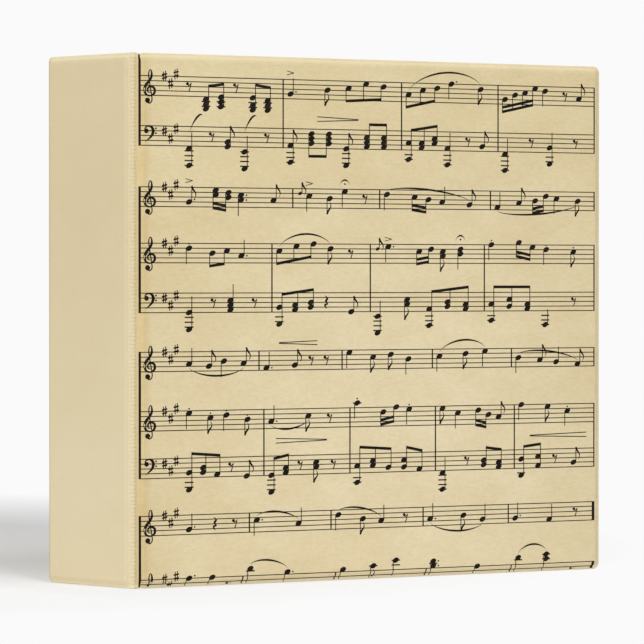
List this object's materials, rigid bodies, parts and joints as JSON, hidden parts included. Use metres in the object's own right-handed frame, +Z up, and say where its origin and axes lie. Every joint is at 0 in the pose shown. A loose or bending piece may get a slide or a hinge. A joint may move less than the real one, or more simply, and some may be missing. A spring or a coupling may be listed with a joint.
{
  "type": "ring binder",
  "caption": "Letter-size ring binder with board covers, a wide spine, a printed front and D rings on the back cover, standing slightly open.",
  "frame": {"origin": "middle of the binder's footprint, on the surface it stands on", "axes": "+Z up, +X from the spine to the fore-edges, +Y from the front cover to the back cover"},
  "size_m": [0.3008, 0.1828, 0.295],
  "materials": {
    "wrap_film": "smooth printed film",
    "liner_film": "fine grained film",
    "pocket_film": "clear thin film",
    "board": "raw chipboard",
    "steel": "nickel plated",
    "grip": "moulded"
  },
  "bodies": {
    "back_cover": {"back_cover_liner": "liner_film", "back_cover_board": "board", "back_cover_wrap": "wrap_film", "back_pocket": "pocket_film", "ring_housing": "steel", "upper_rivet": "steel", "lower_rivet": "steel", "upper_lever_pin": "steel", "lower_lever_pin": "steel"},
    "spine": {"spine_liner": "liner_film", "spine_board": "board", "spine_wrap": "wrap_film", "front_hinge_strip": "wrap_film", "back_hinge_strip": "wrap_film"},
    "front_cover": {"front_cover_liner": "liner_film", "front_cover_board": "board", "front_cover_wrap": "wrap_film", "front_pocket": "pocket_film"},
    "round_leaf": {"round_ring_leaf": "steel", "lower_ring_round_half": "steel", "middle_ring_round_half": "steel", "upper_ring_round_half": "steel"},
    "straight_leaf": {"straight_ring_leaf": "steel", "lower_ring_straight_half": "steel", "middle_ring_straight_half": "steel", "upper_ring_straight_half": "steel"},
    "upper_lever_body": {"upper_lever": "steel", "upper_lever_grip": "grip"},
    "lower_lever_body": {"lower_lever": "steel", "lower_lever_grip": "grip"}
  },
  "joints": [
    {"name": "back_hinge", "type": "hinge", "parent": "back_cover", "child": "spine", "pos_m": [-0.14763, 0.08751, 0], "axis": [0, 0, -1], "range_deg": [0, 180], "deforming": ["back_hinge_strip"]},
    {"name": "front_hinge", "type": "hinge", "parent": "spine", "child": "front_cover", "pos_m": [-0.14763, 0.02151, 0], "axis": [0, 0, -1], "range_deg": [-22, 158], "deforming": ["front_hinge_strip"]},
    {"name": "round_leaf_hinge", "type": "hinge", "parent": "back_cover", "child": "round_leaf", "pos_m": [-0.10662, 0.08466, 0.1475], "axis": [0, 0, -1], "range_deg": [0, 12]},
    {"name": "straight_leaf_hinge", "type": "hinge", "parent": "back_cover", "child": "straight_leaf", "pos_m": [-0.07863, 0.08466, 0.1475], "axis": [0, 0, 1], "range_deg": [0, 12]},
    {"name": "upper_lever_hinge", "type": "hinge", "parent": "back_cover", "child": "upper_lever_body", "pos_m": [-0.09262, 0.08246, 0.2645], "axis": [-1, 0, 0], "range_deg": [0, 18]},
    {"name": "lower_lever_hinge", "type": "hinge", "parent": "back_cover", "child": "lower_lever_body", "pos_m": [-0.09262, 0.08246, 0.0305], "axis": [1, 0, 0], "range_deg": [0, 18]}
  ],
  "couplings": [
    {"joint": "straight_leaf_hinge", "follows": "round_leaf_hinge", "ratio": 1},
    {"joint": "upper_lever_hinge", "follows": "round_leaf_hinge", "ratio": 1.5},
    {"joint": "lower_lever_hinge", "follows": "round_leaf_hinge", "ratio": 1.5}
  ]
}
